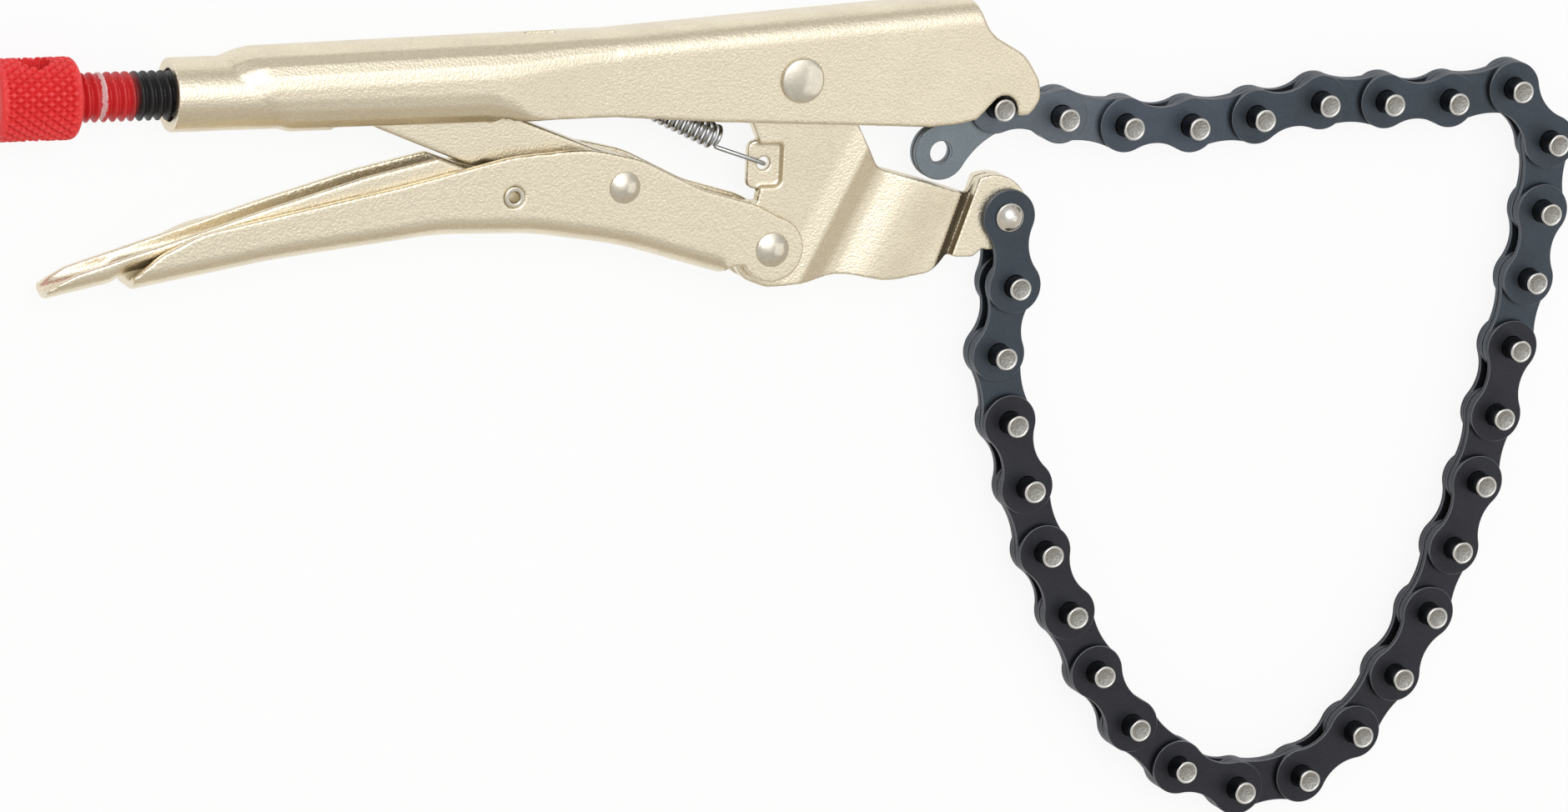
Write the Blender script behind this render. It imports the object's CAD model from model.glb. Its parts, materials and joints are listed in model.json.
# %% [markdown]
# # Locking chain pliers
#
# The tool lies on its side on a pale floor, with its chain hooked in the nose.
# The frame holds the real sizes and the joints. This lesson adds the finish:
# a stage, the metals and the paint, and then the pieces whose form is too fine
# for the frame, such as the thread, the knurl and the riveted chain pins.

# %% Load the frame
import json
import math

import bmesh
import bpy
from mathutils import Matrix, Vector


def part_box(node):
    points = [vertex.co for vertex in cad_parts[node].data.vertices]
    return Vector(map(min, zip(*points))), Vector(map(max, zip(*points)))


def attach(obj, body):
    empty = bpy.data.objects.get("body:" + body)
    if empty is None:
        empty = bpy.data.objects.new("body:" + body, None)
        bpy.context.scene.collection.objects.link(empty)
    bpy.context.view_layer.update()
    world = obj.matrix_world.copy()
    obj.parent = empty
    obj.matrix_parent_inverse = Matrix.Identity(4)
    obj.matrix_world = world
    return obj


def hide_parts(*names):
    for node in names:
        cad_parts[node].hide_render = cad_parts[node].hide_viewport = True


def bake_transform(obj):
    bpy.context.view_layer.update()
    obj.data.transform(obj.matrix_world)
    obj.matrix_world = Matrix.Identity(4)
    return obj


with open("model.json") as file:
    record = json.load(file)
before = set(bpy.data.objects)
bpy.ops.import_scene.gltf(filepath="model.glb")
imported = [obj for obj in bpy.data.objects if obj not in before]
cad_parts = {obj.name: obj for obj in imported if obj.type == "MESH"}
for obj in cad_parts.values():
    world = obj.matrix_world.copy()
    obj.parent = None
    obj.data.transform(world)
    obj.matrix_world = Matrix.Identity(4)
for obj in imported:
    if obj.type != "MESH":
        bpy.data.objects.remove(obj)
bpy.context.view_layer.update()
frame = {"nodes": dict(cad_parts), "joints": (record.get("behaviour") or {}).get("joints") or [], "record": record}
MM = 0.001
JOINTS = {j["name"]: j for j in frame["joints"]}
MOUNTS = {m["name"]: m for m in frame["record"]["mounts"]}

# %% [markdown]
# ## The camera
#
# The picture was taken from above the knob, with a long lens, so parallel edges
# stay nearly parallel. Tilting the camera away from straight down in one turn,
# without rolling it, keeps the screw level in the picture.

# %% Camera
VIEW_TILT = math.radians(25.6)
VIEW_TURN = math.radians(31.2)
VIEW_DISTANCE = 2.173
FOCAL_LENGTH = 227.3
SENSOR_WIDTH = 36.0
NEAREST_SEEN = 0.1
FARTHEST_SEEN = 20.0
MAIN_PIVOT = Vector(JOINTS["jaw_swing"]["pos_m"])
PICTURE_CENTRE = MAIN_PIVOT + Vector((2.06, -74.37, 0.0)) * MM

toward_camera = Vector((
    -math.sin(VIEW_TILT) * math.cos(VIEW_TURN),
    math.sin(VIEW_TILT) * math.sin(VIEW_TURN),
    math.cos(VIEW_TILT),
))
camera_data = bpy.data.cameras.new("camera")
camera_data.lens = FOCAL_LENGTH
camera_data.sensor_width = SENSOR_WIDTH
camera_data.clip_start = NEAREST_SEEN
camera_data.clip_end = FARTHEST_SEEN
camera = bpy.data.objects.new("camera", camera_data)
camera.rotation_mode = "QUATERNION"
camera.rotation_quaternion = Vector((0, 0, 1)).rotation_difference(toward_camera)
camera.location = PICTURE_CENTRE + VIEW_DISTANCE * toward_camera
bpy.context.scene.collection.objects.link(camera)
bpy.context.scene.camera = camera
bpy.context.scene.view_settings.view_transform = "Standard"
print("camera at", [round(v, 3) for v in camera.location])

# %% [markdown]
# ## Helpers for nodes
#
# Sky, floor and finishes are all node trees. A few helpers place a node, feed its
# sockets with numbers or with other sockets, and hand back its output, so that a
# tree reads like a formula.

# %% Node helpers
def put(tree, kind, **settings):
    """Adds a node and sets its plain properties."""
    node = tree.nodes.new(kind)
    for key, value in settings.items():
        setattr(node, key, value)
    return node


def wire(tree, source, target):
    """Links two sockets, from output to input."""
    tree.links.new(source, target)


def feed(tree, value, socket):
    """Gives a socket its value: another socket is wired to it, a number or colour is set on it."""
    if isinstance(value, bpy.types.NodeSocket):
        wire(tree, value, socket)
    else:
        socket.default_value = value


def maths(tree, operation, *values, clamp=False):
    """Adds a Math node whose inputs are sockets or numbers, and returns its output."""
    node = put(tree, "ShaderNodeMath", operation=operation, use_clamp=clamp)
    for socket, value in zip(node.inputs, values):
        feed(tree, value, socket)
    return node.outputs[0]


def stretch(tree, value, low, high, to_low=0.0, to_high=1.0):
    """Maps a value from one range to another, held at both ends, and returns the output."""
    node = put(tree, "ShaderNodeMapRange")
    feed(tree, value, node.inputs["Value"])
    feed(tree, low, node.inputs["From Min"])
    feed(tree, high, node.inputs["From Max"])
    feed(tree, to_low, node.inputs["To Min"])
    feed(tree, to_high, node.inputs["To Max"])
    return node.outputs[0]


def opaque(colour):
    """A colour of three numbers with full alpha."""
    return (*colour, 1.0)


def grey(value):
    """A colour with three equal parts."""
    return (value, value, value)


print("node helpers ready")

# %% [markdown]
# ## The stage
#
# A satin metal shows what stands round it, so the stage is part of its look.
# Many lamps could do it, but each would show as a spot in the flats. One soft sky
# that is bright overhead and behind the spine, and darker low down in front,
# gives the folded sheet its light band and its brown shade, and two lamps only
# help it. The floor is white to the camera and to reflections, and still takes a
# faint shadow.

# %% Sky
SKY_AXIS = Vector((0.0, 0.35, 0.94))
SKY_STOPS = [
    (0.0, (0.58, 0.53, 0.445)), (0.55, (0.56, 0.515, 0.445)), (0.75, (0.55, 0.52, 0.475)),
    (0.87, grey(0.57)), (0.92, grey(0.74)), (0.95, grey(1.0)), (0.975, grey(1.45)),
]
NEW_STOP = 0.5


def ramp(tree, value, stops):
    """Maps a value through a colour ramp with (place, colour) stops."""
    node = put(tree, "ShaderNodeValToRGB")
    band = node.color_ramp
    while len(band.elements) < len(stops):
        band.elements.new(NEW_STOP)
    for element, (place, colour) in zip(band.elements, stops):
        element.position = place
        element.color = opaque(colour)
    wire(tree, value, node.inputs[0])
    return node.outputs[0]


world = bpy.data.worlds.new("sky")
bpy.context.scene.world = world
world.use_nodes = True
sky = world.node_tree
sky.nodes.clear()
height = put(sky, "ShaderNodeVectorMath", operation="DOT_PRODUCT")
wire(sky, put(sky, "ShaderNodeTexCoord").outputs["Generated"], height.inputs[0])
height.inputs[1].default_value = SKY_AXIS.normalized()
share = stretch(sky, height.outputs["Value"], -1.0, 1.0)
glow = put(sky, "ShaderNodeBackground")
wire(sky, ramp(sky, share, SKY_STOPS), glow.inputs["Color"])
wire(sky, glow.outputs[0], put(sky, "ShaderNodeOutputWorld").inputs[0])
print("sky with", len(SKY_STOPS), "stops")

# %% Lamps
LAMPS = {
    "softbox_top": {"place": (-0.2, 0.6, 1.6), "size": 0.8, "power": 6.5},
    "softbox_side": {"place": (0.6, -0.1, 0.75), "size": 0.5, "power": 0.36},
}


def softbox(name, place, size, power):
    """A square lamp that looks at the middle of the tool."""
    lamp = bpy.data.lights.new(name, "AREA")
    lamp.size = size
    lamp.energy = power
    holder = bpy.data.objects.new(name, lamp)
    holder.location = place
    holder.rotation_euler = Vector(place).to_track_quat("Z", "Y").to_euler()
    bpy.context.scene.collection.objects.link(holder)


for lamp_name, setting in LAMPS.items():
    softbox(lamp_name, **setting)
print("lamps:", *LAMPS)

# %% Floor
HALF_FLOOR = 3.0
FLOOR_TONE = 0.9
FLOOR_WHITE = 0.9

floor_material = bpy.data.materials.new("floor_paper")
floor_material.use_nodes = True
paper = floor_material.node_tree
paper.nodes.clear()
matt = put(paper, "ShaderNodeBsdfDiffuse")
matt.inputs["Color"].default_value = opaque(grey(FLOOR_TONE))
lit = put(paper, "ShaderNodeEmission")
lit.inputs["Color"].default_value = opaque(grey(1.0))
path = put(paper, "ShaderNodeLightPath")
shown = maths(paper, "ADD", path.outputs["Is Camera Ray"], path.outputs["Is Glossy Ray"])
shown = maths(paper, "ADD", shown, path.outputs["Is Transmission Ray"], clamp=True)
mix = put(paper, "ShaderNodeMixShader")
wire(paper, maths(paper, "MULTIPLY", shown, FLOOR_WHITE), mix.inputs[0])
wire(paper, matt.outputs[0], mix.inputs[1])
wire(paper, lit.outputs[0], mix.inputs[2])
wire(paper, mix.outputs[0], put(paper, "ShaderNodeOutputMaterial").inputs[0])

floor_mesh = bpy.data.meshes.new("floor")
floor_corners = [(x * HALF_FLOOR, y * HALF_FLOOR, 0.0) for x, y in ((-1, -1), (1, -1), (1, 1), (-1, 1))]
floor_mesh.from_pydata(floor_corners, [], [(0, 1, 2, 3)])
floor_mesh.materials.append(floor_material)
floor = bpy.data.objects.new("floor", floor_mesh)
bpy.context.scene.collection.objects.link(floor)
print("floor of", 2 * HALF_FLOOR, "m")

# %% [markdown]
# ## Shared effects
#
# The folded sheets were tumbled before plating, so the nickel keeps a fine
# pebbled grain. A picture of it would have to be unwrapped onto every piece, so
# noise in the piece's own metres makes it instead. Grain and handling marks are
# wanted on every metal here, and rubbed edges on the paint, at different
# strengths, so each is a node group with named sockets, built once.

# %% A helper for node groups
def group(name, inputs, outputs):
    """Starts a shader node group and returns its tree and its two ends."""
    tree = bpy.data.node_groups.new(name, "ShaderNodeTree")
    for label, default in inputs.items():
        socket = tree.interface.new_socket(label, in_out="INPUT", socket_type="NodeSocketFloat")
        socket.default_value = default
    for label in outputs:
        tree.interface.new_socket(label, in_out="OUTPUT", socket_type="NodeSocketFloat")
    return tree, put(tree, "NodeGroupInput").outputs, put(tree, "NodeGroupOutput").inputs


def noise(tree, scale, detail, roughness):
    """Noise in the piece's own metres, put out as a value about one half."""
    node = put(tree, "ShaderNodeTexNoise")
    wire(tree, put(tree, "ShaderNodeTexCoord").outputs["Object"], node.inputs["Vector"])
    feed(tree, scale, node.inputs["Scale"])
    feed(tree, detail, node.inputs["Detail"])
    feed(tree, roughness, node.inputs["Roughness"])
    return node.outputs[0]


def effect(tree, shared, **values):
    """Places a shared effect in a material with its own values, and returns its outputs."""
    node = put(tree, "ShaderNodeGroup", node_tree=shared)
    for label, value in values.items():
        node.inputs[label].default_value = value
    return node.outputs


print("group helpers ready")

# %% Grain, rubbed edges and handling marks
SPECKLE_LOW = 0.35
SPECKLE_HIGH = 0.65
WEAR_SCALE = 300.0
WEAR_VARIES = 0.8
WEAR_LEAST = 0.5
MARK_LOW = 0.3
MARK_HIGH = 0.7

PEBBLE, pebble_in, pebble_out = group("pebbled_grain", {"Scale": 1500.0}, ["Height", "Speckle"])
fine = noise(PEBBLE, pebble_in["Scale"], detail=2.0, roughness=0.5)
wire(PEBBLE, fine, pebble_out["Height"])
wire(PEBBLE, stretch(PEBBLE, fine, SPECKLE_LOW, SPECKLE_HIGH), pebble_out["Speckle"])

RUBBED, rubbed_in, rubbed_out = group("rubbed_edges", {"Low": 0.57, "High": 0.68}, ["Mask"])
pointed = put(RUBBED, "ShaderNodeNewGeometry").outputs["Pointiness"]
edge = stretch(RUBBED, pointed, rubbed_in["Low"], rubbed_in["High"])
wear = noise(RUBBED, WEAR_SCALE, detail=3.0, roughness=0.55)
patchy = maths(RUBBED, "MULTIPLY_ADD", wear, WEAR_VARIES, WEAR_LEAST)
wire(RUBBED, maths(RUBBED, "MULTIPLY", edge, patchy, clamp=True), rubbed_out["Mask"])

HANDLED, handled_in, handled_out = group("handling_marks", {"Scale": 90.0}, ["Mask"])
cloud = noise(HANDLED, handled_in["Scale"], detail=5.0, roughness=0.6)
wire(HANDLED, stretch(HANDLED, cloud, MARK_LOW, MARK_HIGH), handled_out["Mask"])
print("effects:", PEBBLE.name, RUBBED.name, HANDLED.name)

# %% [markdown]
# ## The metals
#
# Nickel over tumbled steel is warm and pale. The chain is dipped in a hot black
# bath instead, which leaves a thin blue-black oxide that still reflects, so it
# is a dark metal here and not a black paint.

# %% Helpers for finishes
# A Mix node keeps its colour sockets behind those for numbers and vectors.
MIX_BELOW = 6
MIX_ABOVE = 7
MIX_RESULT = 2


def blend_colour(tree, mask, below, above):
    """Mixes two colours, each a socket or three numbers, by a mask."""
    node = put(tree, "ShaderNodeMix", data_type="RGBA")
    wire(tree, mask, node.inputs[0])
    for place, value in ((MIX_BELOW, below), (MIX_ABOVE, above)):
        colour = value if isinstance(value, bpy.types.NodeSocket) else opaque(value)
        feed(tree, colour, node.inputs[place])
    return node.outputs[MIX_RESULT]


def finish_of(name, metallic):
    """A material with a Principled shader, and its tree and shader."""
    material = bpy.data.materials.new(name)
    material.use_nodes = True
    tree = material.node_tree
    shader = tree.nodes["Principled BSDF"]
    shader.inputs["Metallic"].default_value = metallic
    return material, tree, shader


def roughen(tree, shader, height, depth):
    """Feeds a height, over a depth in metres, to the shader's normal."""
    bump = put(tree, "ShaderNodeBump")
    bump.inputs["Distance"].default_value = depth
    bump.inputs["Strength"].default_value = 1.0
    wire(tree, height, bump.inputs["Height"])
    wire(tree, bump.outputs[0], shader.inputs["Normal"])


print("finish helpers ready")

# %% A metal with grain and handling marks
PIT_SHARE = 0.55
SOILED = 0.82


def metal(name, base, roughness, grain_scale, grain_depth, mark_scale):
    """A plated or oxidised metal: grain and handling marks over one base colour."""
    material, tree, shader = finish_of(name, 1.0)
    grain = effect(tree, PEBBLE, Scale=grain_scale)
    marks = effect(tree, HANDLED, Scale=mark_scale)["Mask"]
    unmarked = maths(tree, "MULTIPLY", marks, 1.0 - PIT_SHARE)
    clean = maths(tree, "MULTIPLY_ADD", grain["Speckle"], PIT_SHARE, unmarked)
    tone = blend_colour(tree, clean, [SOILED * c for c in base], base)
    wire(tree, tone, shader.inputs["Base Color"])
    low, high = roughness
    wire(tree, stretch(tree, marks, 0.0, 1.0, high, low), shader.inputs["Roughness"])
    roughen(tree, shader, grain["Height"], grain_depth)
    return material


# Each metal has a base colour, its roughness where clean and where soiled, the scale
# and depth of its grain, and the scale of its handling marks.
METALS = {
    "satin_nickel": ((0.93, 0.84, 0.655), (0.30, 0.40), 1900.0, 0.085 * MM, 90.0),
    "plated_rivet": ((0.86, 0.80, 0.67), (0.13, 0.20), 900.0, 0.02 * MM, 250.0),
    "bright_dome": ((0.93, 0.90, 0.84), (0.16, 0.24), 900.0, 0.02 * MM, 250.0),
    "sooted_nickel": ((0.16, 0.13, 0.09), (0.5, 0.6), 1900.0, 0.05 * MM, 300.0),
    "rubbed_oxide": ((0.17, 0.18, 0.2), (0.26, 0.36), 1800.0, 0.01 * MM, 400.0),
    "pin_side": ((0.04, 0.042, 0.047), (0.25, 0.4), 900.0, 0.01 * MM, 300.0),
    "pin_rim": ((0.78, 0.77, 0.74), (0.2, 0.32), 900.0, 0.01 * MM, 400.0),
    "pin_face": ((0.40, 0.395, 0.37), (0.45, 0.6), 1700.0, 0.22 * MM, 1200.0),
    "spring_wire": ((0.56, 0.57, 0.58), (0.18, 0.28), 700.0, 0.01 * MM, 400.0),
}
metals = {name: metal(name, *finish) for name, finish in METALS.items()}
print("metals:", *metals)

# %% Tones of oxide along the chain
OXIDE_TONES = {
    "deep": (0.051, 0.052, 0.061), "plain": (0.075, 0.090, 0.108), "handled": (0.095, 0.113, 0.139),
    "rubbed": (0.153, 0.175, 0.202), "bare": (0.232, 0.272, 0.298),
}
OXIDE_FINISH = ((0.38, 0.5), 2200.0, 0.012 * MM, 120.0)
oxides = {tone: metal("oxide_" + tone, base, *OXIDE_FINISH) for tone, base in OXIDE_TONES.items()}
print("oxides:", *oxides)

# %% [markdown]
# ## The paint on the screw
#
# The screw was dipped in red up to the middle of its thread. Past the paint the
# thread is black, and near the knob one turn has been rubbed to bare metal.
# The faces could be shared out to three materials, but the borders would then
# follow the edges of the faces. One material that looks at the place along the
# screw can have ragged borders.

# %% Where the paint lies
knob_low, knob_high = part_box("adjusting_screw")
PAINT_END = knob_low.x + 30.0 * MM
PAINT_FADE = 2.2 * MM
RAGGED = 0.25 * MM
SOOT_SHARE = 0.35
WORN_TURN = knob_low.x + 24.1 * MM
WORN_WIDTH = 0.4 * MM
THREAD_FROM = knob_low.x + 18.6 * MM
print("paint from", round(knob_low.x, 4), "to", round(PAINT_END, 4))

# %% Red paint, black thread, rubbed turn
RED = (0.88, 0.041, 0.045)
BLACK = (0.012, 0.011, 0.012)
DEEP_RED = (0.60, 0.018, 0.022)
CREST_RED = (0.92, 0.09, 0.09)
BARE = (0.80, 0.58, 0.58)
VALLEYS = {"Low": 0.49, "High": 0.40}
CRESTS = {"Low": 0.53, "High": 0.66}
PAINT_ROUGHNESS = (0.36, 0.5)
PAINT_GRAIN_SCALE = 1800.0
PAINT_GRAIN_DEPTH = 0.05 * MM
PAINT_MARK_SCALE = 200.0


def screw_paint():
    """Red with sooted valleys and rubbed crests, black past the paint's end, one turn bare."""
    material, tree, shader = finish_of("red_paint", 0.0)
    grain = effect(tree, PEBBLE, Scale=PAINT_GRAIN_SCALE)
    marks = effect(tree, HANDLED, Scale=PAINT_MARK_SCALE)["Mask"]
    place = put(tree, "ShaderNodeSeparateXYZ")
    wire(tree, put(tree, "ShaderNodeTexCoord").outputs["Object"], place.inputs[0])
    along = place.outputs["X"]
    ragged = maths(tree, "MULTIPLY_ADD", grain["Speckle"], RAGGED, along)
    past = stretch(tree, ragged, PAINT_END, PAINT_END + PAINT_FADE)
    distance = maths(tree, "ABSOLUTE", maths(tree, "SUBTRACT", ragged, WORN_TURN))
    rubbed_turn = maths(tree, "LESS_THAN", distance, WORN_WIDTH)
    on_thread = maths(tree, "GREATER_THAN", along, THREAD_FROM)
    shade = blend_colour(tree, on_thread, RED, DEEP_RED)
    shade = blend_colour(tree, maths(tree, "MULTIPLY", marks, SOOT_SHARE), shade, DEEP_RED)
    shade = blend_colour(tree, effect(tree, RUBBED, **VALLEYS)["Mask"], shade, DEEP_RED)
    shade = blend_colour(tree, effect(tree, RUBBED, **CRESTS)["Mask"], shade, CREST_RED)
    shade = blend_colour(tree, past, shade, BLACK)
    shade = blend_colour(tree, rubbed_turn, shade, BARE)
    wire(tree, shade, shader.inputs["Base Color"])
    low, high = PAINT_ROUGHNESS
    wire(tree, stretch(tree, marks, 0.0, 1.0, high, low), shader.inputs["Roughness"])
    roughen(tree, shader, grain["Height"], PAINT_GRAIN_DEPTH)
    return material


PAINT = screw_paint()
print("paint:", PAINT.name)

# %% [markdown]
# ## The folded sheets
#
# Handle, lever, release lever, toggle link and jaw are pressed from sheet, and
# tumbling has rolled every edge over. A bevel would have to follow each edge by
# itself. Instead the solid is skinned again with even small squares, and the
# skin is relaxed a little: flats stay flat, and every edge turns round alike.

# %% Helpers that make and keep a piece
def keep(name, mesh, materials, body, stands_for, place=None):
    """Makes a piece from a mesh, in its place, that rides on its body and stands for some nodes."""
    piece = bpy.data.objects.new(name, mesh)
    if place is not None:
        piece.matrix_world = place
    bpy.context.scene.collection.objects.link(piece)
    if not mesh.materials:
        for material in materials:
            mesh.materials.append(material)
    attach(piece, body)
    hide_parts(*stands_for)
    return piece


def evaluated(holder):
    """The mesh of an object with its modifiers applied; the object is removed."""
    bpy.context.view_layer.update()
    made = bpy.data.meshes.new_from_object(holder.evaluated_get(bpy.context.evaluated_depsgraph_get()))
    bpy.data.objects.remove(holder)
    return made


print("piece helpers ready")

# %% Tumble the pressed parts
PRESSED = {
    "fixed_handle": "handle", "lever_handle": "lever", "release_lever": "release",
    "toggle_link": "link", "jaw_near": "jaw", "jaw_far": "jaw",
}
SKIN_SQUARE = 0.34 * MM
JAW_SKIN_SQUARE = 0.27 * MM
RELAX_ROUNDS = 7
RELAX_SHARE = 0.5
WELD_REACH = 0.002 * MM


def tumbled(node, body, square):
    """A piece with the node's form and tumbled edges, which stands for the node."""
    solid = frame["nodes"][node].data.copy()
    bm = bmesh.new()
    bm.from_mesh(solid)
    bmesh.ops.remove_doubles(bm, verts=bm.verts, dist=WELD_REACH)
    bm.to_mesh(solid)
    bm.free()
    solid.materials.clear()
    holder = bpy.data.objects.new(node, solid)
    bpy.context.scene.collection.objects.link(holder)
    skin = holder.modifiers.new("skin", "REMESH")
    skin.mode = "VOXEL"
    skin.voxel_size = square
    skin.use_smooth_shade = True
    relax = holder.modifiers.new("relax", "SMOOTH")
    relax.factor = RELAX_SHARE
    relax.iterations = RELAX_ROUNDS
    mesh = evaluated(holder)
    mesh.materials.clear()
    finishes = [metals["satin_nickel"], metals["sooted_nickel"]]
    return keep(node + "_tumbled", mesh, finishes, body, [node])


skins = {}
for node, body in PRESSED.items():
    skins[node] = tumbled(node, body, JAW_SKIN_SQUARE if body == "jaw" else SKIN_SQUARE)
    print(node, "skinned with", len(skins[node].data.polygons), "faces")

# %% [markdown]
# ## Soot in the groove
#
# The tumbling stones do not reach into the groove behind the chain tab, so its
# slope stays dark. A mask could be painted for it, but the groove is straight, so
# the distance across it and the depth below the cheek's face are enough to pick
# out the faces that lie in it.

# %% Darken the groove
GROOVE_MIDDLE = MAIN_PIVOT + Vector((41.4, -33.5, 0.0)) * MM
GROOVE_ANGLE = math.radians(71.0)
GROOVE_SPAN = (-3.0 * MM, 0.0)
CHEEK_FACE = 3.0 * MM
GROOVE_DEPTHS = (0.2 * MM, 2.4 * MM)
SOOTED_SLOT = 1

across_groove = Vector((math.sin(GROOVE_ANGLE), -math.cos(GROOVE_ANGLE), 0.0))
sooted = 0
for face in skins["jaw_near"].data.polygons:
    offset = face.center - GROOVE_MIDDLE
    span = offset.dot(across_groove)
    depth = CHEEK_FACE - offset.z
    if GROOVE_SPAN[0] < span < GROOVE_SPAN[1] and GROOVE_DEPTHS[0] < depth < GROOVE_DEPTHS[1]:
        face.material_index = SOOTED_SLOT
        sooted += 1
print("groove:", sooted, "faces sooted")

# %% [markdown]
# ## Turned pieces
#
# A rivet or a pin is a profile turned about its axis. A Screw modifier could spin
# it, with one finish for all. A helper spins it here, so that each stretch of the
# profile can take its own finish, as the end of a chain pin does: dark side,
# bright rim, rough grey face.

# %% Spin a profile
def skin_rings(bm, rings, around):
    """Joins each ring of points to the next with faces, and returns the faces of each stretch."""
    stretches = []
    for low, high in zip(rings, rings[1:]):
        faces = []
        for k in range(around):
            after = (k + 1) % around
            corners = [low[k % len(low)], low[after % len(low)]]
            corners += [high[after % len(high)], high[k % len(high)]]
            faces.append(bm.faces.new(list(dict.fromkeys(corners))))
        stretches.append(faces)
    return stretches


def add_turned(bm, profile, finishes, middle=(0.0, 0.0), turns=48):
    """Spins (radius, height) points about an upright axis; finishes gives each stretch's slot."""
    rings = []
    for radius, height in profile:
        if radius == 0:
            rings.append([bm.verts.new((*middle, height))])
            continue
        ring = []
        for k in range(turns):
            angle = 2 * math.pi * k / turns
            x = middle[0] + radius * math.cos(angle)
            y = middle[1] + radius * math.sin(angle)
            ring.append(bm.verts.new((x, y, height)))
        rings.append(ring)
    for faces, slot in zip(skin_rings(bm, rings, turns), finishes):
        for face in faces:
            face.material_index = slot
            face.smooth = True


print("spinning helpers ready")

# %% Helpers for turned pieces
def mirrored(half):
    """A whole profile from its half above the middle plane."""
    return [(radius, -height) for radius, height in reversed(half[1:])] + half


def mesh_from(bm, name):
    """A mesh with outward faces from a bmesh, which is freed."""
    bmesh.ops.recalc_face_normals(bm, faces=bm.faces)
    mesh = bpy.data.meshes.new(name)
    bm.to_mesh(mesh)
    bm.free()
    return mesh


def arc(centre, radius, start, end, steps):
    """Points of a round stretch, in degrees."""
    angles = [math.radians(start + (end - start) * k / steps) for k in range(steps + 1)]
    return [(centre[0] + radius * math.cos(a), centre[1] + radius * math.sin(a)) for a in angles]


def turned_piece(node, body, profile, finish):
    """A piece of one finish, turned about the middle of the node that it stands for."""
    low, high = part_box(node)
    bm = bmesh.new()
    add_turned(bm, profile, [0] * len(profile))
    bmesh.ops.remove_doubles(bm, verts=bm.verts, dist=WELD_REACH)
    mesh = mesh_from(bm, node + "_turned")
    place = Matrix.Translation((low + high) / 2)
    keep(node + "_turned", mesh, [metals[finish]], body, [node], place)


print("turning helpers ready")

# %% The rivets
UNDERCUT = 0.3 * MM
WIDEST_ROLL = 0.45
CROWN_INSET = 0.6
CROWN_STEPS = 10
NECK_SHARES = [(1.0, 0.0), (1.0, 0.1), (0.2, 0.3)]
RIM_SHARES = [(0.0, 0.45), (0.12, 0.72), (0.32, 0.9)]
HANDLE_HALF = 7.3 * MM
LEVER_HALF = 7.1 * MM
ANCHOR_HALF = 4.47 * MM
# Each rivet has a body, the radii of shank and head, the rise of the head over its
# seat, the seat, the rise of the crown, and a metal.
RIVETS = {
    "main_rivet": ("handle", 4.0 * MM, 5.0 * MM, 1.2 * MM, HANDLE_HALF, 0.45 * MM, "plated_rivet"),
    "lever_rivet": ("lever", 3.2 * MM, 3.8 * MM, 1.1 * MM, LEVER_HALF, 0.85 * MM, "plated_rivet"),
    "toggle_rivet": ("lever", 2.8 * MM, 3.5 * MM, 1.1 * MM, LEVER_HALF, 0.8 * MM, "plated_rivet"),
    "chain_rivet": ("jaw", 2.5 * MM, 3.3 * MM, 2.1 * MM, ANCHOR_HALF, 1.5 * MM, "bright_dome"),
}


def rivet_profile(shank, head, rise, seat, crown_rise):
    """Half a rivet from its middle up: shank, a drawn-in neck, the head's rounded rim, a low crown."""
    roll = min(rise - crown_rise, WIDEST_ROLL * head)
    inner = head - CROWN_INSET * roll
    crown = (inner ** 2 + crown_rise ** 2) / (2 * crown_rise)
    spread = math.degrees(math.asin(inner / crown))
    dome = arc((0.0, seat + rise - crown), crown, 90 - spread, 90, CROWN_STEPS)
    dome[-1] = (0.0, dome[-1][1])
    neck = [(head - inward * UNDERCUT, seat + upward * roll) for inward, upward in NECK_SHARES]
    rim = [(head - inward * roll, seat + upward * roll) for inward, upward in RIM_SHARES]
    return [(shank, 0.0), (shank, seat)] + neck + rim + dome


for node, (body, shank, head, rise, seat, crown_rise, finish) in RIVETS.items():
    turned_piece(node, body, mirrored(rivet_profile(shank, head, rise, seat, crown_rise)), finish)
print("rivets:", *RIVETS)

# %% The hollow pin
PIN_OUTER = 2.35 * MM
PIN_BORE = 1.25 * MM
PIN_ROLL = 0.35 * MM
PIN_ROLL_STEPS = 5


def hollow_profile(end):
    """The outline of a tube's wall whose two ends, at plus and minus end, are rolled over."""
    outside = arc((PIN_OUTER - PIN_ROLL, end - PIN_ROLL), PIN_ROLL, 0, 90, PIN_ROLL_STEPS)
    inside = arc((PIN_BORE + PIN_ROLL, end - PIN_ROLL), PIN_ROLL, 90, 180, PIN_ROLL_STEPS)
    half = [(PIN_OUTER, 0.0)] + outside + inside + [(PIN_BORE, 0.0)]
    return half + [(radius, -height) for radius, height in reversed(half[:-1])]


pin_low, pin_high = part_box("release_pin")
turned_piece("release_pin", "lever", hollow_profile((pin_high.z - pin_low.z) / 2), "plated_rivet")
print("hollow pin:", round((pin_high.z - pin_low.z) / MM, 2), "mm long")

# %% [markdown]
# ## The chain
#
# Each link is stamped: a figure of eight with two holes and a fine rolled edge.
# A filled curve with two inner rings makes the plate, because the curve's own
# extrusion and bevel give the rolled edge round the holes too. One mesh of each
# kind and tone serves all its links. The hinges of the frame say where the links
# lie. Those near the free end are handled most, so their oxide is rubbed paler.

# %% Stamp a plate
PITCH = 15.875 * MM
PLATE = 1.3 * MM
END_RADIUS = 6.15 * MM
HOLE_RADIUS = 2.55 * MM
PLATE_ROLL = 0.16 * MM
ROLL_FACETS = 2
END_STEPS = 40
WAIST_STEPS = 16
HOLE_STEPS = 36


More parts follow.
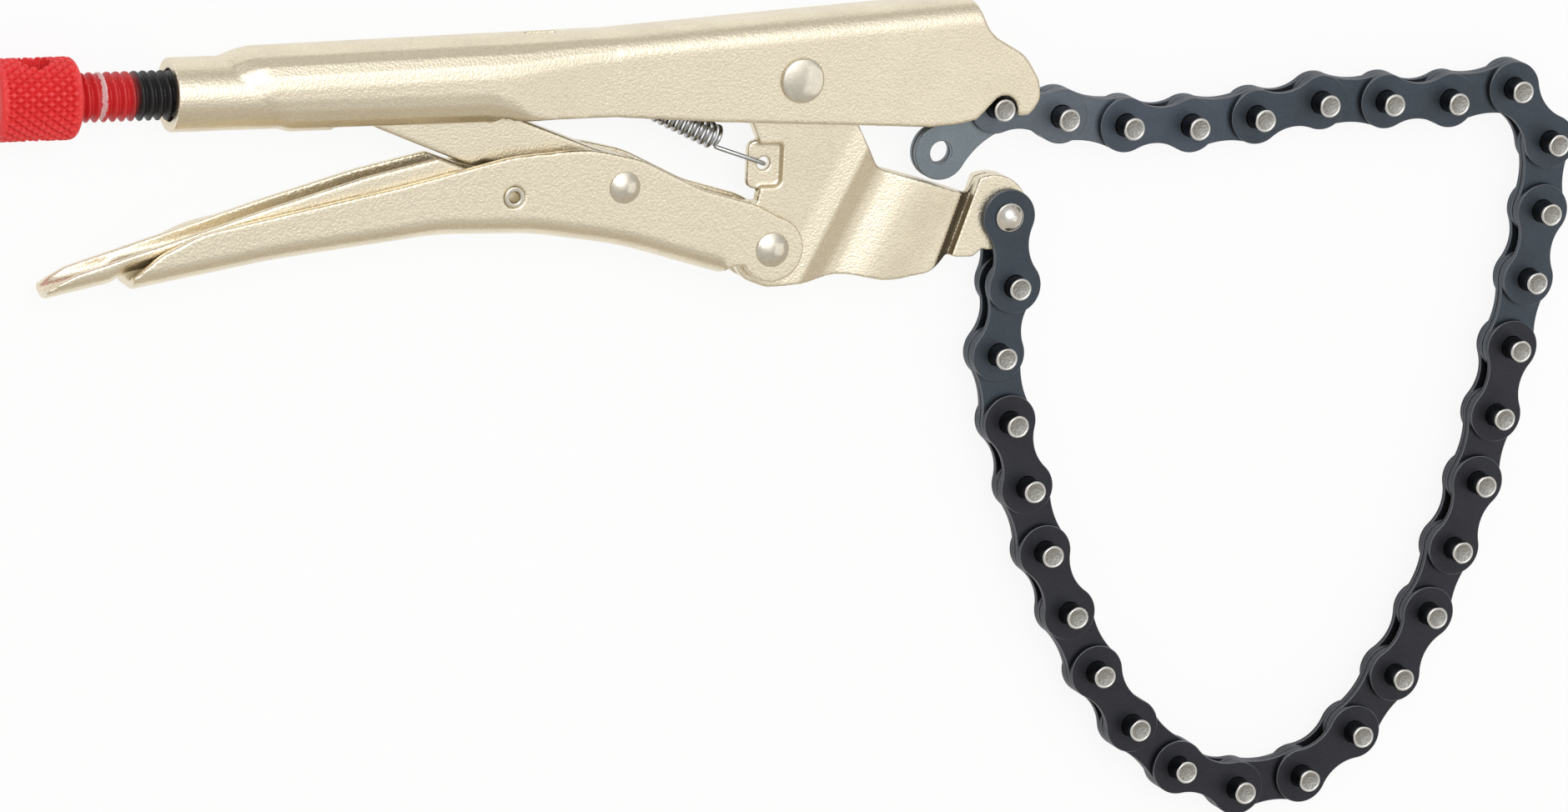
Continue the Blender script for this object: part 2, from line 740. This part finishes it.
def plate_outline(waist):
    """A figure of eight: two round ends and a scooped waist that runs smoothly into both."""
    half = PITCH / 2
    scoop = (half ** 2 + waist ** 2 / 4 - END_RADIUS ** 2) / (2 * END_RADIUS - waist)
    lean = math.degrees(math.atan2(waist / 2 + scoop, half))
    above = (half, waist / 2 + scoop)
    below = (half, -waist / 2 - scoop)
    left = arc((0.0, 0.0), END_RADIUS, lean, 360 - lean, END_STEPS)
    bottom = arc(below, scoop, 180 - lean, lean, WAIST_STEPS)
    right = arc((PITCH, 0.0), END_RADIUS, lean - 180, 180 - lean, END_STEPS)
    top = arc(above, scoop, -lean, lean - 180, WAIST_STEPS)
    return left + bottom[1:-1] + right + top[1:-1]


def plate_mesh(waist):
    """A stamped plate that lies on the middle plane, with its rolled edges."""
    stamp = bpy.data.curves.new("plate", "CURVE")
    stamp.dimensions = "2D"
    stamp.fill_mode = "BOTH"
    stamp.extrude = PLATE / 2 - PLATE_ROLL
    stamp.bevel_depth = PLATE_ROLL
    stamp.bevel_resolution = ROLL_FACETS
    stamp.offset = -PLATE_ROLL
    rings = [plate_outline(waist)]
    for middle in (0.0, PITCH):
        rings.append(arc((middle, 0.0), HOLE_RADIUS, 0, 360, HOLE_STEPS)[:-1])
    for ring in rings:
        spline = stamp.splines.new("POLY")
        spline.points.add(len(ring) - 1)
        spline.use_cyclic_u = True
        for point, (x, y) in zip(spline.points, ring):
            point.co = (x, y, 0, 1)
    holder = bpy.data.objects.new("plate", stamp)
    bpy.context.scene.collection.objects.link(holder)
    return evaluated(holder)


print("plates are", round((PITCH + 2 * END_RADIUS) / MM, 2), "mm long")

# %% Lay two plates side by side
PLATE_SLOT, SIDE_SLOT, RIM_SLOT, FACE_SLOT, EDGE_SLOT = range(5)
ROLL_LOW = 0.15
ROLL_HIGH = 0.98


def add_plates(bm, waist, low):
    """Two plates, mirrored about the chain's middle plane, with rubbed rolled edges."""
    solid = plate_mesh(waist)
    for level in (low + PLATE / 2, -low - PLATE / 2):
        solid.transform(Matrix.Translation((0, 0, level)))
        before = len(bm.faces)
        bm.from_mesh(solid)
        solid.transform(Matrix.Translation((0, 0, -level)))
        bm.faces.ensure_lookup_table()
        for face in bm.faces[before:]:
            rolled = ROLL_LOW < abs(face.normal.z) < ROLL_HIGH
            face.material_index = EDGE_SLOT if rolled else PLATE_SLOT
            face.smooth = False
    bpy.data.meshes.remove(solid)


print("a plate's rolled edge is", round(PLATE_ROLL / MM, 2), "mm")

# %% Rivet the pins
PIN_RADIUS = 2.5 * MM
PIN_HALF = 7.9 * MM
RIM_WIDTH = 0.34 * MM
RIM_STEPS = 5
FACE_INSET = 1.5 * RIM_WIDTH
FACE_SINK = 0.12 * MM
PIN_TURNS = 40


def add_pin(bm, x):
    """A chain pin at a place along the link, with rounded rims and sunk rough faces."""
    rim = arc((PIN_RADIUS - RIM_WIDTH, PIN_HALF - RIM_WIDTH), RIM_WIDTH, 0, 90, RIM_STEPS)
    face = [(PIN_RADIUS - FACE_INSET, PIN_HALF - FACE_SINK), (0.0, PIN_HALF - FACE_SINK)]
    half = [(PIN_RADIUS, 0.0)] + rim + face
    slots = [SIDE_SLOT] + [RIM_SLOT] * (RIM_STEPS + 1) + [FACE_SLOT]
    add_turned(bm, mirrored(half), slots[::-1] + slots, (x, 0.0), PIN_TURNS)


def link_mesh(name, waist, low, with_pins):
    """A link of two plates, with its two pins if it carries them."""
    bm = bmesh.new()
    add_plates(bm, waist, low)
    if with_pins:
        for x in (0.0, PITCH):
            add_pin(bm, x)
    return mesh_from(bm, name)


print("pins are", round(2 * PIN_HALF / MM, 2), "mm long")

# %% Lay the links
OUTER_WAIST = 8.1 * MM
INNER_WAIST = 9.7 * MM
INNER_LOW = 0.25 * MM
OUTER_LOW = 1.7 * MM
ANCHOR_LOW = 3.15 * MM
LINK_KINDS = {
    "anchor": (OUTER_WAIST, ANCHOR_LOW, False),
    "outer": (OUTER_WAIST, OUTER_LOW, True),
    "inner": (INNER_WAIST, INNER_LOW, False),
}
TONE_FROM = [(0, "plain"), (3, "deep"), (18, "plain"), (26, "handled"), (28, "rubbed"), (30, "bare")]
PIN_METALS = [metals[name] for name in ("pin_side", "pin_rim", "pin_face", "rubbed_oxide")]
stamped = {}


def stamped_link(kind, number):
    """The mesh of one kind of link in the tone of its place in the chain, made once for each pair."""
    tone = [name for first, name in TONE_FROM if first <= number][-1]
    if (kind, tone) not in stamped:
        mesh = link_mesh(kind + "_" + tone, *LINK_KINDS[kind])
        for finish in [oxides[tone]] + PIN_METALS:
            mesh.materials.append(finish)
        stamped[kind, tone] = mesh
    return stamped[kind, tone]


hinges = sorted(name for name in JOINTS if name.startswith("chain_"))
places = [Vector(JOINTS[name]["pos_m"]) for name in hinges]
places.append(Vector(MOUNTS["chain_end_hole"]["pos_m"]))
for number, (name, here, there) in enumerate(zip(hinges, places, places[1:])):
    body = JOINTS[name]["child"]
    mesh = stamped_link(body.split("_")[0], number)
    heading = math.atan2(there.y - here.y, there.x - here.x)
    place = Matrix.Translation(here) @ Matrix.Rotation(heading, 4, "Z")
    keep(body + "_stamped", mesh, [], body, [body], place)
print("chain:", len(hinges), "links, anchored at", [round(v, 4) for v in places[0]])

# %% [markdown]
# ## The adjusting screw
#
# The knob is rolled with a diamond knurl and the shank is cut with a thread. Each
# groove could be cut out of a bar, which takes long and leaves rough seams. Both
# are heights on a round bar, so the whole screw is one grid of angle by length
# whose radius follows a formula. Only the bar hole is cut through afterwards.

# %% The knob's radius
KNOB_RADIUS = 8.9 * MM
KNOB_LENGTH = 18.4 * MM
KNOB_ROUND = 1.6 * MM
KNURL_COUNT = 25
KNURL_STEP = 2.75 * MM
KNURL_DEPTH = 0.75 * MM
KNURL_MARGIN = 1.4 * MM
KNURL_FADE_FROM = 0.5 * KNURL_MARGIN
KNURL_STEEPNESS = 1.7


def ridge(turn):
    """A saw of straight flanks: 0 in the groove, 1 on the crest."""
    return abs(2 * (turn % 1.0) - 1)


def knurl(angle, along):
    """Diamond pyramids where two opposite spirals of grooves cross."""
    around = KNURL_COUNT * angle / (2 * math.pi)
    forward = along / KNURL_STEP
    return min(ridge(around + forward), ridge(around - forward))


def knob_radius(angle, along):
    """The knob's rounded barrel, knurled between plain margins."""
    end = min(along, KNOB_LENGTH - along)
    radius = KNOB_RADIUS
    if end < KNOB_ROUND:
        back = KNOB_ROUND - end
        radius -= KNOB_ROUND - math.sqrt(max(KNOB_ROUND ** 2 - back ** 2, 0.0))
    fade = min(max((end - KNURL_FADE_FROM) / KNURL_MARGIN, 0.0), 1.0)
    return radius - KNURL_DEPTH * fade * (1 - min(1.0, KNURL_STEEPNESS * knurl(angle, along)))


print("knurl:", KNURL_COUNT, "grooves each way")

# %% The thread's radius
THREAD_RADIUS = 5.35 * MM
THREAD_PITCH = 2.0 * MM
THREAD_DEPTH = 0.95 * MM
THREAD_LEAD = 0.6 * MM
THREAD_STEEPNESS = 1.35
THREAD_FLAT = 0.15
NOSE_RADIUS = 3.6 * MM
NOSE_LENGTH = 9.0 * MM
NOSE_BEVEL = 1.0 * MM
SCREW_LENGTH = knob_high.x - knob_low.x
THREAD_START = KNOB_LENGTH + THREAD_LEAD
THREAD_END = SCREW_LENGTH - NOSE_LENGTH


def thread_radius(angle, along):
    """A vee thread with flattened crest and root."""
    flank = THREAD_STEEPNESS * ridge(along / THREAD_PITCH - angle / (2 * math.pi)) - THREAD_FLAT
    tooth = min(max(flank, 0.0), 1.0)
    return THREAD_RADIUS - THREAD_DEPTH * (1 - tooth)


def plain(radius):
    """A rule for a smooth round stretch."""
    return lambda angle, along: radius


print("thread:", round((THREAD_END - THREAD_START) / THREAD_PITCH, 1), "turns")

# %% Stations along the screw
KNOB_STEPS = 116
STEPS_IN_A_TURN = 12
THREAD_STEP = THREAD_PITCH / STEPS_IN_A_TURN


def screw_stations():
    """Pairs of length and radius rule, from the knob's face to the screw's tip."""
    rows = [(0.0, plain(0.0)), (0.0, plain(KNOB_RADIUS - KNOB_ROUND))]
    for k in range(1, KNOB_STEPS):
        rows.append((KNOB_LENGTH * k / KNOB_STEPS, knob_radius))
    rows.append((KNOB_LENGTH, plain(KNOB_RADIUS - KNOB_ROUND)))
    rows.append((KNOB_LENGTH, plain(THREAD_RADIUS - THREAD_DEPTH)))
    for k in range(int((THREAD_END - THREAD_START) / THREAD_STEP)):
        rows.append((THREAD_START + k * THREAD_STEP, thread_radius))
    rows.append((THREAD_END, plain(NOSE_RADIUS)))
    rows.append((SCREW_LENGTH - NOSE_BEVEL, plain(NOSE_RADIUS)))
    rows.append((SCREW_LENGTH, plain(NOSE_RADIUS - NOSE_BEVEL)))
    rows.append((SCREW_LENGTH, plain(0.0)))
    return rows


stations = screw_stations()
print("screw:", len(stations), "stations")

# %% Skin the screw
AROUND = 288


def screw_mesh():
    """The whole screw along the first axis, from the middle of the knob's face."""
    bm = bmesh.new()
    rings = []
    for along, rule in stations:
        if rule(0.0, along) == 0.0:
            rings.append([bm.verts.new((along, 0, 0))])
            continue
        ring = []
        for k in range(AROUND):
            angle = 2 * math.pi * k / AROUND
            radius = rule(angle, along)
            ring.append(bm.verts.new((along, radius * math.cos(angle), radius * math.sin(angle))))
        rings.append(ring)
    skin_rings(bm, rings, AROUND)
    return mesh_from(bm, "knurled_screw")


whole_screw = screw_mesh()
print("screw:", len(whole_screw.vertices), "points before drilling")

# %% Drill the bar hole
BAR_HOLE_RADIUS = 3.4 * MM
BAR_REACH = 1.5 * KNOB_RADIUS
BAR_TURNS = 64


def bar_hole():
    """A round bar across the knob that is taken out of it."""
    bm = bmesh.new()
    half = [(BAR_HOLE_RADIUS, BAR_REACH), (0.0, BAR_REACH)]
    profile = [(radius, -height) for radius, height in reversed(half)] + half
    add_turned(bm, profile, [0] * len(profile), turns=BAR_TURNS)
    cutter = bpy.data.objects.new("bar_hole", mesh_from(bm, "bar_hole"))
    axis = Vector(MOUNTS["bar_hole"]["axis"])
    turn = Vector((0, 0, 1)).rotation_difference(axis).to_matrix().to_4x4()
    cutter.matrix_world = Matrix.Translation((KNOB_LENGTH / 2, 0, 0)) @ turn
    bpy.context.scene.collection.objects.link(cutter)
    return cutter


def cut(mesh, cutter):
    """Takes a cutter out of a mesh and returns the new mesh; the cutter is removed."""
    holder = bpy.data.objects.new("whole", mesh)
    bpy.context.scene.collection.objects.link(holder)
    hole = holder.modifiers.new("hole", "BOOLEAN")
    hole.operation = "DIFFERENCE"
    hole.object = cutter
    made = evaluated(holder)
    bpy.data.objects.remove(cutter)
    return made


drilled = cut(whole_screw, bar_hole())
screw_middle = (knob_low + knob_high) / 2
drilled.transform(Matrix.Translation((knob_low.x, screw_middle.y, screw_middle.z)))
drilled.materials.clear()
for face in drilled.polygons:
    face.use_smooth = False
keep("knurled_screw", drilled, [PAINT], "screw", ["adjusting_screw"])
print("screw:", len(drilled.polygons), "faces")

# %% [markdown]
# ## The return spring
#
# A spring is a wire wound on a formula, so it is drawn as a curve with a round
# bevel. Its coil lies where the frame's coil lies, and its front end runs out
# straight to the lanced tab and hooks through the hole. The rear hook stays with
# the handle and the front one goes with the jaw, so the wire between them bends
# across the joint of the two.

# %% The wire's route
COIL_RADIUS = 2.5 * MM
CURLS = 14
LAST_CURL = 0.36
CURL_STEPS = 20
COIL_REAR = MAIN_PIVOT + Vector((-38.9, -2.7, 0.0)) * MM
COIL_FRONT = MAIN_PIVOT + Vector((-17.1, -13.4, 0.0)) * MM
REAR_HOOK = MAIN_PIVOT + Vector((-58.5, 10.4, 0.0)) * MM
REAR_BEND = Vector((1.2, -1.6, 0.0)) * MM
COIL_ENTRY = [Vector((-4.0, 3.0, 0.0)) * MM, Vector((-1.6, 0.6, -0.6)) * MM]
COIL_EXIT = [(0.5 * MM, -0.3 * MM, 0.0), (1.3 * MM, -0.2 * MM, 0.4 * MM)]
TAB_HOLE = MAIN_PIVOT + Vector((-6.6, -19.0, 0.0)) * MM
HOOK_TOP = TAB_HOLE + Vector((0.0, 0.0, 4.3)) * MM
HOOK_BENDS = [(-1.6, 0.7, 0.0), (-0.5, 0.2, -0.1), (0.0, 0.0, -0.9), (0.0, 0.0, -2.9)]


def spring_points():
    """The wire from the rear hook through the coil to the hook in the tab."""
    axis = (COIL_FRONT - COIL_REAR).normalized()
    side = Vector((-axis.y, axis.x, 0))
    up = Vector((0, 0, 1))
    coil = []
    for k in range(int((CURLS + LAST_CURL) * CURL_STEPS) + 1):
        angle = 2 * math.pi * k / CURL_STEPS
        middle = COIL_REAR.lerp(COIL_FRONT, min(k / (CURLS * CURL_STEPS), 1.0))
        coil.append(middle + COIL_RADIUS * (math.cos(angle) * side + math.sin(angle) * up))
    rear = [REAR_HOOK, REAR_HOOK + REAR_BEND]
    rear += [coil[0] + step for step in COIL_ENTRY]
    front = [coil[-1] + on * axis + aside * side + over * up for on, aside, over in COIL_EXIT]
    front += [HOOK_TOP + Vector(bend) * MM for bend in HOOK_BENDS]
    return rear + coil + front


route = spring_points()
print("spring:", CURLS, "curls on", len(route), "points")

# %% Draw the wire and let it bend
WIRE_RADIUS = 0.5 * MM
WIRE_FACETS = 3

spring_curve = bpy.data.curves.new("wound_spring", "CURVE")
spring_curve.dimensions = "3D"
spring_curve.bevel_depth = WIRE_RADIUS
spring_curve.bevel_resolution = WIRE_FACETS
spring_curve.use_fill_caps = True
track = spring_curve.splines.new("POLY")
track.points.add(len(route) - 1)
for point, here in zip(track.points, route):
    point.co = (*here, 1)
track.use_smooth = True
drawn = bpy.data.objects.new("drawn_wire", spring_curve)
bpy.context.scene.collection.objects.link(drawn)
spring_mesh = evaluated(drawn)
spring_mesh.materials.append(metals["spring_wire"])
spring = bpy.data.objects.new("wound_spring", spring_mesh)
bpy.context.scene.collection.objects.link(spring)
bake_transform(spring)
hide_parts("return_spring")
print("spring:", len(spring_mesh.polygons), "faces")
